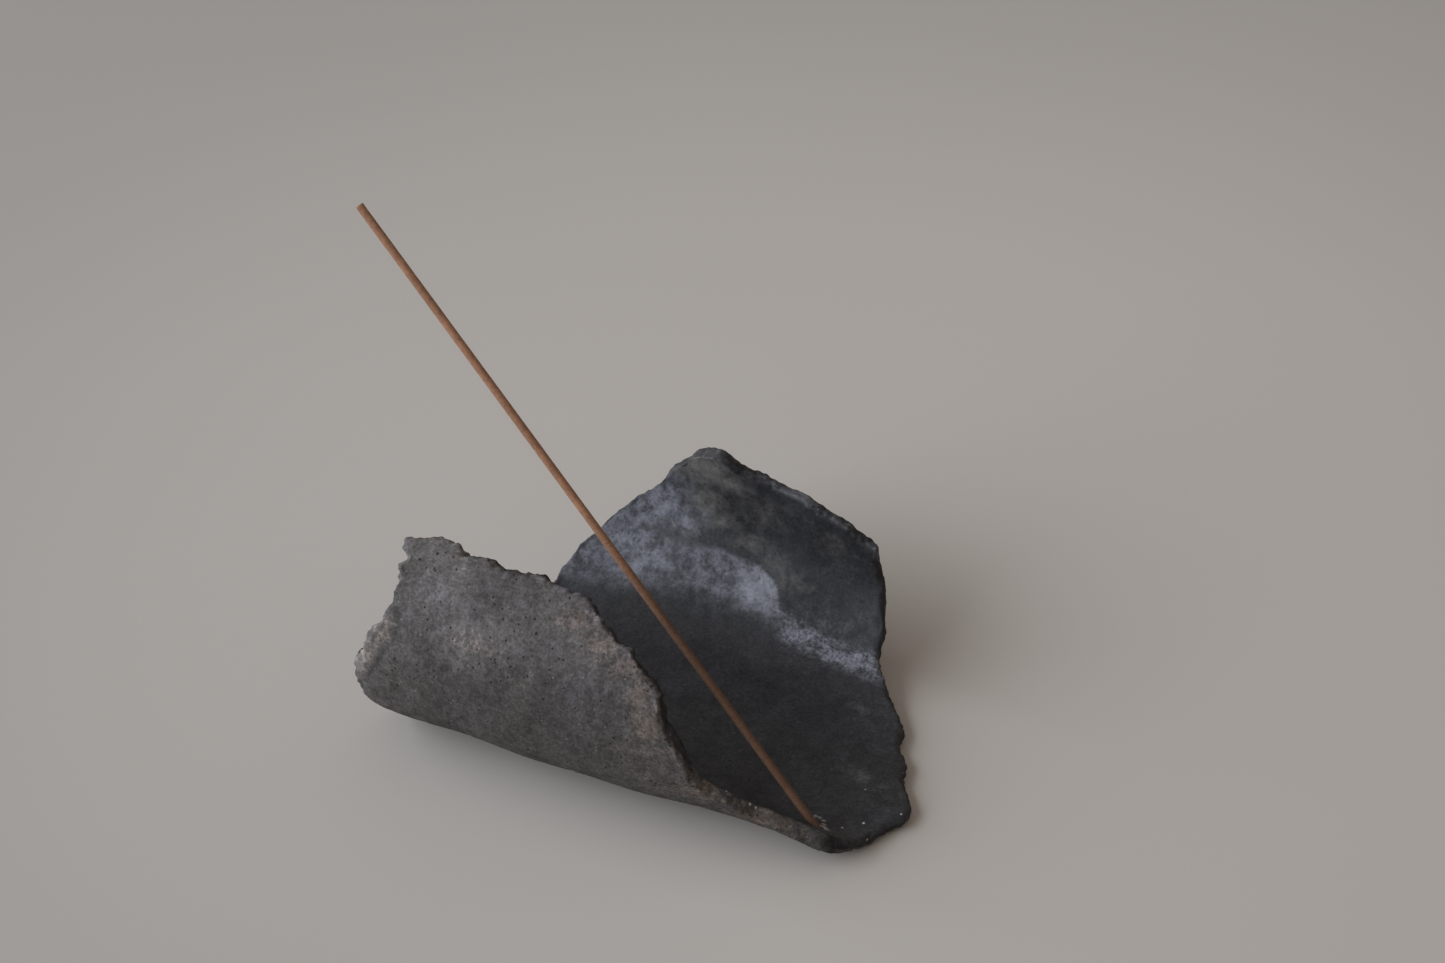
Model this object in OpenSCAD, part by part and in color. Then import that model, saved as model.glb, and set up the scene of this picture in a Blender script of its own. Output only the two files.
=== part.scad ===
// Hand-built incense burner: a torn slab of dark fired clay, curled into an
// open trough, with a stick of incense standing in a blind hole in its low lip.
// X runs along the trough towards the hole, Y towards the back wall, Z up.
// The origin is in the resting face, which lies at Z = 0. Millimetres.

/* [Slab] */
// Length of the slab along the trough, from torn end to torn end
slab_length = 145; // [110:1:180]
// Reach of the near wall, measured on the slab from the floor's middle line to its rim
near_reach = 103; // [80:1:125]
// Reach of the back wall, measured on the slab from the floor's middle line to its peak
back_reach = 90; // [72:1:110]
// Thickness of the slab away from its torn edges
wall = 4; // [3:0.1:6]
// Depth of the tears along the edges
tear = 0.6; // [0:0.1:1.5]
// How far the torn edges lean from the slab's middle towards its inner face
edge_lean = 0.8; // [0:0.1:1.5]
// Height of the waves that the hand leaves in the walls
hand_wave = 0.5; // [0:0.1:1.2]

/* [Curl] */
// Radius of the near wall's curl at the left end
near_radius_left = 31; // [26:0.5:40]
// Radius of the near wall's curl at the right end
near_radius_right = 25; // [21:0.5:34]
// Radius of the back wall's curl at the left end
back_radius_left = 40; // [34:0.5:50]
// Radius of the back wall's curl at the right end
back_radius_right = 28; // [24:0.5:40]
// Flat floor on the near side of the middle line, where it is widest
near_flat = 20.4; // [14:0.2:26]
// How much narrower the near side's flat floor is at the two ends
near_bow = 4.5; // [0:0.5:7]
// Flat floor on the back side of the middle line, where it is widest
back_flat = 18; // [12:0.5:24]
// How much narrower the back side's flat floor is at the two ends
back_bow = 4; // [0:0.5:6]
// How far the curl opens out towards the low front corner
corner_open = 6; // [0:0.5:9]
// Depth to which the curled slab is rubbed flat underneath
foot_rub = 0.3; // [0.2:0.05:0.8]

/* [Stick hole] */
// Distance of the hole from the front corner, along the trough
hole_from_corner = 8.2; // [6:0.2:14]
// Distance of the hole from the torn edge of the lip, measured on the slab
hole_from_edge = 4; // [3.5:0.5:10]
// Depth of the hole along the stick
hole_depth = 5; // [4:0.5:8]
// Clay left between the end of the hole and the underside
hole_floor = 1.2; // [0.8:0.1:2]
// Height of the clay pushed up round the mouth of the hole
hole_lip = 1; // [0:0.1:1.5]
// Spread of the thicker clay round the hole
pad_spread = 9; // [7:0.5:14]

/* [Incense stick] */
// Diameter of the stick
stick_d = 2.2; // [1.6:0.1:3.2]
// Length of the stick
stick_length = 200; // [120:1:240]
// Slope of the stick above the table, in degrees
stick_lean = 45; // [35:1:65]
// Turn of the stick from the trough's line towards the back wall, in degrees
stick_swing = 9; // [0:1:20]
// Gap between the stick and the side of its hole
stick_clearance = 0.08; // [0.02:0.01:0.3]
// Gap between the stick's lower end and the end of its hole
seat_gap = 0.05; // [0.02:0.01:0.2]

/* [Hidden] */

// Left end of the slab, in percent of its length from the origin
left_end = -46;
// Front corner of the lip, in percent of the slab's length and of the near reach
corner_along = 46.5;
corner_up = 36;
// Reach of the lip beside the hole, in percent of the near reach
lip_up = 38.8;
// Where the curl starts to open out towards the front corner and where it is open, in percent along
open_from = 32.3;
open_to = 48;
// Where the flat floor is widest, and how far from there it loses its bow, in percent along
bow_middle = 3.5;
bow_reach = 46;
// Lengths of the waves in the torn edges and of those that fingers and palm leave in the walls
long_tear = 23;
short_tear = 13.7;
finger_pitch = 56;
palm_pitch = 80;
// Curl angles at which the waves in the walls start and reach their full height
wave_from = 15;
wave_full = 50;

// The torn outline on the flat slab. Along is in percent of the slab's length
// from the origin, and up in percent of a wall's reach, negative on the near side.
near_rim = [
    [-39.9, -96.5], [-34.3, -99.7], [-26.4, -99.8], [-20.4, -98.4], [-15.5, -100.3], [-8.3, -99],
    [-0.8, -94.8], [6.3, -87], [13.3, -78.4]
];
right_edge = [
    [13.3, -78.4], [16.6, -70.6], [19.9, -61], [25.6, -50.3], [32.8, -43.7], [41.1, -lip_up],
    [corner_along, -corner_up], [50.2, -27.2], [53.4, -13.4], [49.2, -1.5], [45.5, 10.2],
    [43.4, 20.9], [35.4, 33.7], [33.3, 47], [30.5, 63.4], [28.9, 78.2]
];
back_rim = [
    [-9.5, 94], [-6.4, 97.3], [-2.5, 99.6], [1, 93.7], [6.9, 91.4],
    [14, 89.5], [21.8, 82.8], [28.9, 78.2]
];
left_edge = [
    [-39.9, -96.5], [-39.7, -85.1], [-39.9, -75.1], [-46.2, -59.2], [-47, -42], [-45.2, -29],
    [-39.2, 5.1], [-33.8, 35.8], [-30.9, 51.1], [-24.2, 66.2], [-15.8, 83.3], [-9.5, 94]
];

// Lines of the mesh along each side, as shares of it, drawn together at the torn edges
along_steps = 32;
across_steps = 52;
along_rim = [0, 0.004, 0.012, 0.024];
across_rim = [0, 0.0025, 0.007, 0.014];
spline_steps = 8;
along_lines = rim_spaced(along_rim, along_steps);
across_lines = rim_spaced(across_rim, across_steps);
last_along = len(along_lines) - 1;
last_across = len(across_lines) - 1;

function smooth(from, to, x) = let (k = max(0, min(1, (x - from) / (to - from)))) k * k * (3 - 2 * k);
function mix(a, b, k) = a + (b - a) * k;

// Shares from 0 to 1, with the rim's spacing repeated at both ends
function rim_spaced(rim, steps) =
    let (edge = rim[len(rim) - 1])
    concat(
        rim,
        [for (i = [1 : steps - 1]) mix(edge, 1 - edge, i / steps)],
        [for (i = [len(rim) - 1 : -1 : 0]) 1 - rim[i]]
    );

// Percentages of the outline turned into millimetres on the slab
function on_slab(points) = [
    for (p = points) [p[0] / 100 * slab_length, p[1] / 100 * (p[1] < 0 ? near_reach : back_reach)]
];

// A smooth path through the points of one side of the outline
function spline_at(a, b, c, d, k) =
    0.5 * (2 * b + (c - a) * k + (2 * a - 5 * b + 4 * c - d) * k * k + (3 * b - a - 3 * c + d) * k * k * k);
function spline_path(p) =
    let (last = len(p) - 1)
    concat(
        [
            for (i = [0 : last - 1])
                let (before = i > 0 ? p[i - 1] : 2 * p[0] - p[1])
                let (after = i < last - 1 ? p[i + 2] : 2 * p[last] - p[last - 1])
                for (k = [0 : spline_steps - 1])
                    spline_at(before, p[i], p[i + 1], after, k / spline_steps)
        ],
        [p[last]]
    );

// Points at the given shares of a path's length
function run_to(path, i) = i == 0 ? 0 : run_to(path, i - 1) + norm(path[i] - path[i - 1]);
function spread(path, shares) =
    let (last = len(path) - 1)
    let (total = run_to(path, last))
    let (along_table = [for (i = [0 : last]) [run_to(path, i), path[i][0]]])
    let (up_table = [for (i = [0 : last]) [run_to(path, i), path[i][1]]])
    [for (k = shares) [lookup(k * total, along_table), lookup(k * total, up_table)]];

near_line = spread(spline_path(on_slab(near_rim)), along_lines);
back_line = spread(spline_path(on_slab(back_rim)), along_lines);
left_line = spread(spline_path(on_slab(left_edge)), across_lines);
right_line = spread(spline_path(on_slab(right_edge)), across_lines);

// A point of the flat slab, blended between its four torn sides
function flat_point(i, j) =
    let (u = along_lines[i])
    let (v = across_lines[j])
    let (sides = mix(near_line[i], back_line[i], v) + mix(left_line[j], right_line[j], u))
    let (near_corners = mix(near_line[0], near_line[last_along], u))
    let (back_corners = mix(back_line[0], back_line[last_along], u))
    sides - mix(near_corners, back_corners, v);

// The tears push the outline in and out, in a long wave and a short one
function tear_wave(x) = sin(360 * x / long_tear) + 0.6 * sin(360 * x / short_tear);
function torn_point(p) = p + tear * [tear_wave(p[1]), tear_wave(p[0])];

// The curl: a flat floor, then an arc on each side, both wider at one end than at the other
function percent_along(t) = 100 * t / slab_length;
function share_along(t) = (percent_along(t) - left_end) / 100;
function bow_at(t) = pow((percent_along(t) - bow_middle) / bow_reach, 2);
function opened_at(t) = corner_open * smooth(open_from, open_to, percent_along(t));
function flat_at(t, s) =
    s < 0 ? near_flat - near_bow * bow_at(t) + opened_at(t) : back_flat - back_bow * bow_at(t);
function radius_at(t, s) =
    s < 0
    ? mix(near_radius_left, near_radius_right, share_along(t))
    : mix(back_radius_left, back_radius_right, share_along(t));
function curl_angle(t, s) = max(0, abs(s) - flat_at(t, s)) / radius_at(t, s) * 180 / PI;
function side(s) = s < 0 ? -1 : 1;

// The slab's middle surface and its upward normal
function normal_at(t, s) = [0, -side(s) * sin(curl_angle(t, s)), cos(curl_angle(t, s))];
function wave_at(t, s) =
    hand_wave * smooth(wave_from, wave_full, curl_angle(t, s))
    * sin(360 * (t + s) / finger_pitch) * cos(360 * (t - 2 * s) / palm_pitch);
function middle_at(t, s) =
    let (r = radius_at(t, s))
    let (a = curl_angle(t, s))
    let (floor_z = wall / 2 - foot_rub)
    [t, side(s) * (min(abs(s), flat_at(t, s)) + r * sin(a)), floor_z + r * (1 - cos(a))]
    + wave_at(t, s) * normal_at(t, s);

// The hole in the lip, and the thicker clay that it needs below it
hole_t = slab_length * corner_along / 100 - hole_from_corner;
hole_s = -(near_reach * lip_up / 100 - hole_from_edge);
stick_axis = [-cos(stick_lean) * cos(stick_swing), cos(stick_lean) * sin(stick_swing), sin(stick_lean)];
hole_d = stick_d + 2 * stick_clearance;
hole_normal = normal_at(hole_t, hole_s);
hole_cosine = stick_axis * hole_normal;
hole_sine = sqrt(1 - hole_cosine * hole_cosine);
hole_reach_down = hole_depth * hole_cosine + hole_d / 2 * hole_sine;
pad = max(0, hole_reach_down + hole_floor - wall - hole_lip);
hole_mouth = middle_at(hole_t, hole_s) + (wall / 2 + hole_lip) * hole_normal;

function pad_share(t, s) = exp(-(pow(t - hole_t, 2) + pow(s - hole_s, 2)) / pow(pad_spread, 2));

// Thickness falls away in a round edge along the torn outline
function round_edge(share, rim) =
    let (k = min(1, min(share, 1 - share) / rim[len(rim) - 1]))
    sqrt(1 - pow(1 - k, 2));
function edge_share(i, j) = round_edge(along_lines[i], along_rim) * round_edge(across_lines[j], across_rim);

// Points of the slab's two faces, which share the points of the torn outline
function off_middle(i, j, thick) = edge_share(i, j) * thick + (1 - edge_share(i, j)) * edge_lean;
function inner_face(i, j) =
    let (p = torn_point(flat_point(i, j)))
    let (thick = wall / 2 + hole_lip * pad_share(p[0], p[1]))
    middle_at(p[0], p[1]) + off_middle(i, j, thick) * normal_at(p[0], p[1]);
function outer_face(i, j) =
    let (p = torn_point(flat_point(i, j)))
    let (thick = wall / 2 + pad * pad_share(p[0], p[1]))
    middle_at(p[0], p[1]) + off_middle(i, j, -thick) * normal_at(p[0], p[1]);

slab_points = concat(
    [for (i = [0 : last_along]) for (j = [0 : last_across]) inner_face(i, j)],
    [for (i = [1 : last_along - 1]) for (j = [1 : last_across - 1]) outer_face(i, j)]
);
inner_count = (last_along + 1) * (last_across + 1);
function inner_index(i, j) = i * (last_across + 1) + j;
function on_outline(i, j) = i == 0 || j == 0 || i == last_along || j == last_across;
function outer_index(i, j) =
    on_outline(i, j) ? inner_index(i, j) : inner_count + (i - 1) * (last_across - 1) + j - 1;

// Each cell is cut towards the slab's nearest corner, so that no triangle has all its points on the outline
function cell_corners(i, j) = [[i, j], [i, j + 1], [i + 1, j + 1], [i + 1, j]];
function cell_triangles(c, toward_first) =
    toward_first ? [[c[0], c[1], c[2]], [c[0], c[2], c[3]]] : [[c[0], c[1], c[3]], [c[1], c[2], c[3]]];
slab_faces = [
    for (i = [0 : last_along - 1])
        for (j = [0 : last_across - 1])
            let (toward_first = (i < last_along / 2) == (j < last_across / 2))
            let (inner = [for (c = cell_corners(i, j)) inner_index(c[0], c[1])])
            let (outer = [for (c = cell_corners(i, j)) outer_index(c[0], c[1])])
            each concat(
                cell_triangles(inner, toward_first),
                [for (f = cell_triangles(outer, toward_first)) [f[2], f[1], f[0]]]
            )
];

// The hole's own frame: its mouth at the origin and the stick's upper end along Z
module along_stick() {
    translate(hole_mouth)
        rotate([0, 90 - stick_lean, 180 - stick_swing])
            children();
}

// The fired slab, rubbed flat underneath and drilled for the stick
module clay_body() {
    cut = 2 * slab_length;
    color("#46454a")
        difference() {
            polyhedron(points = slab_points, faces = slab_faces, convexity = 8);
            translate([-cut / 2, -cut / 2, -wall])
                cube([cut, cut, wall]);
            along_stick()
                translate([0, 0, -hole_depth])
                    cylinder(h = 2 * hole_depth, d = hole_d, $fn = 48);
        }
}

// A coreless stick of incense, seated in the hole
module incense_stick() {
    color("#85644f")
        along_stick()
            translate([0, 0, seat_gap - hole_depth])
                cylinder(h = stick_length, d = stick_d, $fn = 48);
}

clay_body();
incense_stick();
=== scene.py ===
import bpy
import numpy as np
from mathutils import Matrix, Vector, noise


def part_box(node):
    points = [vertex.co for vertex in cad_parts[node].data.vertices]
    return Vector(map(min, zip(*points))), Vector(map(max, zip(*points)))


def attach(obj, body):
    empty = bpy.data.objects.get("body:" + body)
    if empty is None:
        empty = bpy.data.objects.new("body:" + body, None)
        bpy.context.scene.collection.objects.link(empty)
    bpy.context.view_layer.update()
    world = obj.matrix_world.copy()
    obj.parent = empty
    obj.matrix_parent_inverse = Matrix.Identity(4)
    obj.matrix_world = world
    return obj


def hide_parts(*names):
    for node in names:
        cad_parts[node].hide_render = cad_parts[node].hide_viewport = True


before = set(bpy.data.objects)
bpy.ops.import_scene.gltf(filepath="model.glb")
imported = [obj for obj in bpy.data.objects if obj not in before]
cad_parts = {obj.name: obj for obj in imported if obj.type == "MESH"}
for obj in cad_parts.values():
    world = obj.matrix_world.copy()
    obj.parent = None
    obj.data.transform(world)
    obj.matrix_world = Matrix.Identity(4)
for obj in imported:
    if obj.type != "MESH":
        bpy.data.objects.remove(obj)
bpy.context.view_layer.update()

MM_PER_METRE = 1000

# Sizes of the slab, its curl, its stick hole and the stick, as in the part's source
SLAB_LENGTH = 145.0
NEAR_REACH = 103.0
BACK_REACH = 90.0
WALL = 4.0
TEAR = 0.6
EDGE_LEAN = 0.8
HAND_WAVE = 0.5
NEAR_RADIUS = (31.0, 25.0)
BACK_RADIUS = (40.0, 28.0)
NEAR_FLAT = 20.4
NEAR_BOW = 4.5
BACK_FLAT = 18.0
BACK_BOW = 4.0
CORNER_OPEN = 6.0
FOOT_RUB = 0.3
HOLE_FROM_CORNER = 8.2
HOLE_FROM_EDGE = 4.0
HOLE_DEPTH = 5.0
HOLE_FLOOR = 1.2
HOLE_LIP = 1.0
PAD_SPREAD = 9.0
STICK_D = 2.2
STICK_LENGTH = 200.0
STICK_LEAN = 45.0
STICK_SWING = 9.0
STICK_CLEARANCE = 0.08
SEAT_GAP = 0.05

# Places along the slab and up its walls, in percent of its length and of a wall's reach
LEFT_END = -46.0
CORNER_ALONG = 46.5
CORNER_UP = 36.0
LIP_UP = 38.8
OPEN_FROM = 32.3
OPEN_TO = 48.0
BOW_MIDDLE = 3.5
BOW_REACH = 46.0

# Pitches of the waves in the torn outline and in the hand-worked walls, and from and to which angle of the
# curl the walls' wave grows, in degrees
LONG_TEAR = 23.0
SHORT_TEAR = 13.7
FINGER_PITCH = 56.0
PALM_PITCH = 80.0
WAVE_FROM = 15.0
WAVE_FULL = 50.0

# The four torn sides: along and up, in percent
NEAR_RIM = [
    (-39.9, -96.5), (-34.3, -99.7), (-26.4, -99.8), (-20.4, -98.4), (-15.5, -100.3), (-8.3, -99),
    (-0.8, -94.8), (6.3, -87), (13.3, -78.4),
]
RIGHT_EDGE = [
    (13.3, -78.4), (16.6, -70.6), (19.9, -61), (25.6, -50.3), (32.8, -43.7), (41.1, -LIP_UP),
    (CORNER_ALONG, -CORNER_UP), (50.2, -27.2), (53.4, -13.4), (49.2, -1.5), (45.5, 10.2),
    (43.4, 20.9), (35.4, 33.7), (33.3, 47), (30.5, 63.4), (28.9, 78.2),
]
BACK_RIM = [
    (-9.5, 94), (-6.4, 97.3), (-2.5, 99.6), (1, 93.7), (6.9, 91.4),
    (14, 89.5), (21.8, 82.8), (28.9, 78.2),
]
LEFT_EDGE = [
    (-39.9, -96.5), (-39.7, -85.1), (-39.9, -75.1), (-46.2, -59.2), (-47, -42), (-45.2, -29),
    (-39.2, 5.1), (-33.8, 35.8), (-30.9, 51.1), (-24.2, 66.2), (-15.8, 83.3), (-9.5, 94),
]
# Width of the rounded rim as a share of the slab, points in each span of a side, and its shorter wave's share
ALONG_RIM = 0.024
ACROSS_RIM = 0.014
SPAN_STEPS = 20
SHORT_SHARE = 0.6

# The torn edge's inner corner is crisper than its outer one
INNER_CORNER = 0.5
# Lumps and notches in the torn outline: along, up, length, height, push along and push up
LUMPS = [
    (-58, -100.8, 3.5, 1.6, 1.8, 0), (-58.7, -97, 3.5, 1.8, -0.3, 0), (-57.7, -93.8, 3.5, 1.1, 2.0, 0),
    (-57.2, -91, 3.5, 1.5, -0.9, 0), (-57.3, -87.3, 4, 2.4, 1.1, 0), (-57.5, -82.5, 4, 3, -0.5, 0),
    (-60, -73, 4, 4, 0.2, 0), (-41, -101, 2, 3, 0, 0.6), (-35.5, -100.5, 2.5, 3, 0, -1.5),
    (-29, -99.5, 2.8, 3, 0, 1.9), (-17, -103, 2.4, 3, 0, -0.3), (67.5, -37.3, 3.5, 3.5, -0.8, 0.8),
    (75, -22, 4, 5, -0.9, 0.6), (-44, 39, 4, 3, 0.9, 0), (-41, 46, 4, 3, -0.9, 0),
    (-36.5, 57, 4, 4, -0.6, 0), (-28, 68, 4, 3, 0.7, 0), (-22, 75, 4, 2.5, -0.6, 0),
    (-18, 80, 4, 2.5, 0.8, 0), (42, 70.4, 2.2, 2.2, -0.7, -0.7),
]
# A crease pressed into the outer face near its left end, from its top down: along and up
CREASE_ALONG = [-53.8, -53.9, -54.7, -56.6, -59.4, -63.4]
CREASE_UP = [-80.0, -76.0, -72.4, -69.4, -64.4, -57.2]

# Lines of the clay's mesh, which come closer together at the hole, and a first guess at the hole's shares
EDGE_TURNS = 9
ALONG_COUNT = 164
ACROSS_COUNT = 236
FINE_LINES = 4000
HOLE_CROWDING = 1.5
HOLE_CROWDING_REACH = 0.03
HOLE_GUESS = (0.95, 0.34)
SOLVE_ROUNDS = 12
SOLVE_STEP = 1e-4

# Rings round the hole, the chipped mouth, and the shares of the hole's wall that get a ring
HOLE_PATCH = 3.1
PATCH_RINGS = 7
MOUTH_ROOM = 0.16
MOUTH_CHIPS = 0.22
MOUTH_LOPSIDED = 0.12
MOUTH_LEAST = 0.03
MOUTH_BEVEL = 0.35
CHIP_SIDE = 0.7
WALL_SHARES = (0.0, 0.15, 0.4, 0.7, 1.0)
FAR_FROM_EDGE = 9.0

# The stick's mesh, its surface and its cut ends
STICK_SIDES = 28
STICK_RINGS = 260
STICK_SLACK = 0.03
DIE_LINES = 0.012
STICK_PITS = 0.04
STICK_SWELLS = 0.012
CUT_BEVEL = 0.12
CUT_HALF_BEVEL = 0.04
CUT_CRUMBLE = 0.05
CUT_DENT = 0.06

# Points nearer than this to the sides of the clay's box are drawn back
BOX_MARGIN = 0.6
# A swelling of the outer face low at the left end, in the form of the patches below
SWELLING = [(-61, -46, 9, 6, 0.9)]

# Patches on the slab: along, up, half length, half height and strength
# Paler and darker parts of the outer face
TONES = [
    (-50, -97, 16, 10, 1.8), (-46, -89, 12, 10, 1.5), (-36, -84, 14, 8, 1.0), (-56, -72, 12, 12, 0.5),
    (8, -61, 26, 7, -0.4), (-16, -62, 14, 7, -0.2), (34, -51, 14, 5, 0.2), (47, -46, 12, 5, 0.2),
    (4, -91, 18, 8, 0.5), (66, -39, 6, 5, -1.0), (-30, -68, 16, 5, -0.15), (7, -73, 10, 6, -0.4),
    (56, -40, 8, 3, 0.1), (-8, -101, 10, 2.5, 0.6), (6, -94, 6, 3, 0.7),
]
# Beige parts of the outer face
BLUSHES = [
    (-31, -80, 10, 4, 0.55), (-19, -77, 8, 4, 0.5), (-6, -93.5, 5.5, 4, 1.0), (2.5, -89, 6, 4, 0.95),
    (10, -85, 5.5, 4.5, 0.9), (16, -79, 4.5, 6, 0.95), (19.5, -72, 4, 7, 1.05), (24, -64, 6, 5, 0.6),
    (33, -53, 12, 5, 0.85), (46, -44, 13, 7, 0.95), (57, -41, 6, 4, 0.5), (-38, -66, 9, 4, 0.3),
    (-44, -96, 9, 4, 0.3), (10, -62, 12, 4, 0.4),
]
# Bluish parts of the outer face
COOL_BLUSHES = [
    (-44, -88, 10, 6, 0.5), (-10, -101, 8, 2.5, 1.0), (1, -97.5, 8, 3, 1.0), (12, -90, 6, 3, 1.0),
    (0, -77, 14, 8, 0.5), (-14, -86, 10, 6, 0.4), (8, -70, 9, 6, 0.3),
]
# Pitted parts of the outer face
PITS = [(-27, -78, 10, 5, 1.0), (-13, -75, 10, 5, 0.8), (8, -66, 14, 5, 0.6), (-44, -98, 8, 3, 0.5)]
# Brown-grey stains on the inner face
OLIVE_STAINS = [
    (-13, 84, 15, 12, 0.9), (-3, 79, 9, 7, 0.7), (-11, 70, 8, 6, 0.75), (-5, 65, 9, 5, 0.55),
    (3, 60, 9, 5, 0.55), (11, 56, 9, 4.5, 0.55), (19, 51.5, 9, 4.5, 0.5), (60, -5, 7, 5, 0.4),
    (70, -9, 6, 5, 0.4), (49, 19.5, 7, 3, 0.4), (34, 47, 12, 7, 0.1), (6, 71, 14, 8, 0.5),
    (28, 68, 12, 8, 0.4),
]
# Pale hazy patches of the same painted sheen above the sheen band on the back wall, the sheen's solid end,
# and the darker soot under it
HAZES = [
    (-34, 56, 11, 9, 0.95), (-27, 65, 10, 9, 1.3), (-18, 62, 9, 6, 0.9), (-20, 72, 9, 7, 0.8),
    (30, 43, 14, 6, 0.27),
]
SOLID_SHEEN = [(9, 47, 7, 7, 0.9)]
UNDER_SHEEN = [(-2, 26, 18, 9, 0.2)]
# Where fine grit shows on the inner face
GRITTY = [(70, -22, 12, 16, 1.0), (44, -46, 18, 5, 1.0)]

# White grains of grit on the inner face: along, up and radius
GRAINS = [
    (68.6, -22.5, 0.5), (75.9, -15.0, 0.45), (71.8, -27.7, 0.4), (38.5, -50.6, 0.5), (39.8, -49.6, 0.4),
    (44.4, -46.4, 0.5), (45.8, -45.6, 0.38), (52.6, -41.2, 0.4),
]
# A painted highlight in an arc behind the hole, on its pushed-up lip, in the same way
MOUTH_HIGHLIGHTS = [
    (56.6, -28.8, 0.6), (57.0, -27.5, 0.7), (58.0, -27.4, 0.7), (59.2, -28.4, 0.9), (60.3, -31.3, 0.9),
    (61.3, -33.3, 0.7),
]
# The sheen on the back wall, a reflection of the window painted into the colour, by place along the slab: its
# lower and upper edges and its strength
SHEEN_ALONG = [-60, -41, -29, -17, -5, 8, 14, 17, 25, 35, 46, 56]
SHEEN_LOW = [30, 32, 33.5, 35, 36.5, 36.5, 36.5, 35.5, 34, 32, 30.5, 29.5]
SHEEN_HIGH = [60, 57, 55.5, 54.5, 56, 54, 50, 43, 39, 37, 36, 35.5]
SHEEN_STRENGTH = [0.5, 0.85, 0.9, 0.75, 0.75, 1.0, 1.0, 1.0, 1.2, 1.2, 1.1, 0.8]

# Colours and tints, as linear red, green and blue
GREY_DARK = (0.0550, 0.0503, 0.0484)
GREY_PALE = (0.0810, 0.0741, 0.0712)
COOL_TINT = (1.09, 1.11, 1.29)
BLUSH_TINT = (1.50, 1.34, 1.23)
GREY_PORE = (0.016, 0.015, 0.015)
GROG = (0.24, 0.23, 0.22)
SOOT_DARK = (0.0206, 0.0201, 0.0226)
SOOT_PALE = (0.0310, 0.0304, 0.0341)
SOOT_PORE = (0.010, 0.010, 0.010)
DUST = (0.060, 0.051, 0.043)
# The painted sheen's pale blue-grey, a reflection of the cool window painted into the colour
PAINTED_SHEEN = (0.158, 0.158, 0.190)
STAIN = (0.118, 0.112, 0.107)
RIME = (0.110, 0.113, 0.128)
GRIT_AND_HIGHLIGHT = (0.40, 0.40, 0.42)
MOUTH_HIGHLIGHT = (0.20, 0.20, 0.205)
SCORCH = (0.020, 0.017, 0.015)
FLECK = (0.20, 0.19, 0.18)
STICK_DARK = (0.182, 0.090, 0.051)
STICK_PALE = (0.232, 0.117, 0.068)
STICK_GRAIN_TINT = (0.74, 0.72, 0.70)
STICK_POWDER = (0.29, 0.160, 0.100)
STICK_SPECK = (0.050, 0.028, 0.018)
FLOOR_DARK = (0.426, 0.392, 0.366)
FLOOR_PALE = (0.446, 0.412, 0.386)
WINDOW_COLOUR = (0.84, 0.92, 1.0)
ROOM_COLOUR = (1.0, 0.90, 0.80)

# Half the floor's side in metres, and the painted falloff of light that darkens it: round which point, from
# and to which distance in metres, and to which share
FLOOR_HALF = 3
FLOOR_LIGHT_FALLOFF = [((0.14, 0.13, 0), 0.12, 0.60, 0.75), ((0, 0.10, 0), 0.15, 0.34, 0.93)]
# The window's size and distance in metres, its power, the way to it, and the light of the room
WINDOW_WIDTH = 4.6
WINDOW_HEIGHT = 2.4
WINDOW_WATTS = 166.0
WINDOW_DISTANCE = 3.0
TOWARD_WINDOW = (-0.74, -0.48, 0.47)
ROOM_STRENGTH = 0.375
# The photo's size and the pixel that shows the part's origin, and where it was taken from: degrees, metres
# and the lens and sensor in millimetres
PHOTO_WIDTH = 1445
PHOTO_HEIGHT = 963
ORIGIN_PIXEL = (663.0, 711.0)
CAMERA_AZIMUTH = 25.0
CAMERA_ELEVATION = 36.0
CAMERA_DISTANCE = 0.922
LENS = 85.0
SENSOR = 36.0


def mix(a, b, k):
    return a + (b - a) * k


def smooth(low, high, x):
    k = np.clip((x - low) / (high - low), 0, 1)
    return k * k * (3 - 2 * k)


def side_line(points):
    """A smooth torn side through its points, as a function of the share of its length."""
    p = np.array(points, float)
    reach = np.where(p[:, 1] < 0, NEAR_REACH, BACK_REACH)
    p = p / 100 * np.stack([np.full(len(p), SLAB_LENGTH), reach], axis=1)
    p = np.vstack([2 * p[0] - p[1], p, 2 * p[-1] - p[-2]])
    k = np.linspace(0, 1, SPAN_STEPS, endpoint=False)[:, None]
    spans = []
    for a, b, c, d in zip(p[:-3], p[1:-2], p[2:-1], p[3:]):
        squared = 2 * a - 5 * b + 4 * c - d
        cubed = 3 * b - a - 3 * c + d
        spans.append(0.5 * (2 * b + (c - a) * k + squared * k**2 + cubed * k**3))
    path = np.vstack(spans + [p[-2:-1]])
    runs = np.concatenate([[0], np.cumsum(np.linalg.norm(np.diff(path, axis=0), axis=1))])

    def at(share):
        run = np.asarray(share) * runs[-1]
        return np.stack([np.interp(run, runs, path[:, 0]), np.interp(run, runs, path[:, 1])], axis=-1)

    return at


near_line = side_line(NEAR_RIM)
right_line = side_line(RIGHT_EDGE)
back_line = side_line(BACK_RIM)
left_line = side_line(LEFT_EDGE)


def tear_wave(x):
    return np.sin(2 * np.pi * x / LONG_TEAR) + SHORT_SHARE * np.sin(2 * np.pi * x / SHORT_TEAR)


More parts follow.
